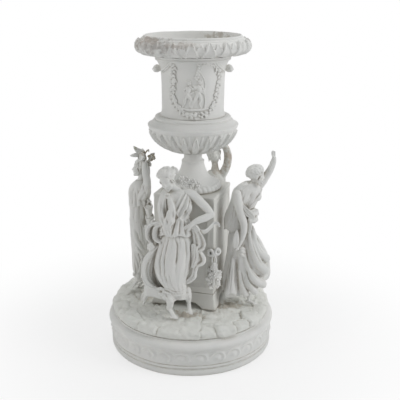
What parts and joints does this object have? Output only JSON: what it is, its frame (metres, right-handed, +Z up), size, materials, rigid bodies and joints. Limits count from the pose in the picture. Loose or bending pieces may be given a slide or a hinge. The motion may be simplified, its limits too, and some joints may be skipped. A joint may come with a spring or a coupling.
{
  "type": "bisque figural vase",
  "caption": "Bisque porcelain campana urn on a square pedestal, ringed by dancing draped women on a round rocky base",
  "frame": {"origin": "on the table under the middle of the round plinth", "axes": "+Z up through the vase, the front of the vase looks along -Y"},
  "size_m": [0.227, 0.227, 0.42],
  "materials": {
    "bisque": "matt unglazed",
    "bisque_base": "matt unglazed",
    "bisque_shaded": "matt unglazed, a little dusty",
    "tie_iron": "dull",
    "cork": "cork"
  },
  "bodies": {
    "root": {"base_plinth": "bisque_base", "rock_mound": "bisque_base", "pedestal_foot": "bisque", "pedestal_die": "bisque", "urn_foot": "bisque", "urn_bowl": "bisque", "urn_cup": "bisque", "urn_rim": "bisque", "tie_rod": "tie_iron", "tie_rod_lower_washer": "tie_iron", "tie_rod_lower_nut": "tie_iron", "tie_rod_upper_washer": "tie_iron", "tie_rod_upper_nut": "tie_iron", "tie_rod_cork_pad": "cork", "urn_lug_left": "bisque", "urn_lug_right": "bisque", "urn_wreath": "bisque", "urn_children_relief": "bisque", "pedestal_bow": "bisque", "pedestal_flower_spray": "bisque", "front_blouse": "bisque", "front_skirt": "bisque", "front_head": "bisque", "front_hair": "bisque", "front_arm_bent": "bisque", "front_arm_on_hip": "bisque", "front_foot_near": "bisque", "front_foot_far": "bisque", "front_mantle": "bisque", "front_shawl": "bisque", "front_garland": "bisque", "front_scroll": "bisque", "left_blouse": "bisque", "left_skirt": "bisque", "left_head": "bisque", "left_hair": "bisque", "left_arm_near": "bisque", "left_arm_far": "bisque", "left_foot": "bisque", "left_back_foot": "bisque", "left_tambourine": "bisque", "left_leaves": "bisque", "left_scroll": "bisque", "right_blouse": "bisque", "right_skirt": "bisque", "right_head": "bisque", "right_hair": "bisque", "right_arm_raised": "bisque", "right_arm_lowered": "bisque", "right_waist_drape": "bisque", "right_mirror": "bisque", "right_foot": "bisque", "back_blouse": "bisque_shaded", "back_skirt": "bisque_shaded", "back_head": "bisque_shaded", "back_hair": "bisque_shaded", "back_arm_raised": "bisque_shaded", "back_arm_lowered": "bisque_shaded", "back_foot": "bisque_shaded"}
  },
  "joints": []
}
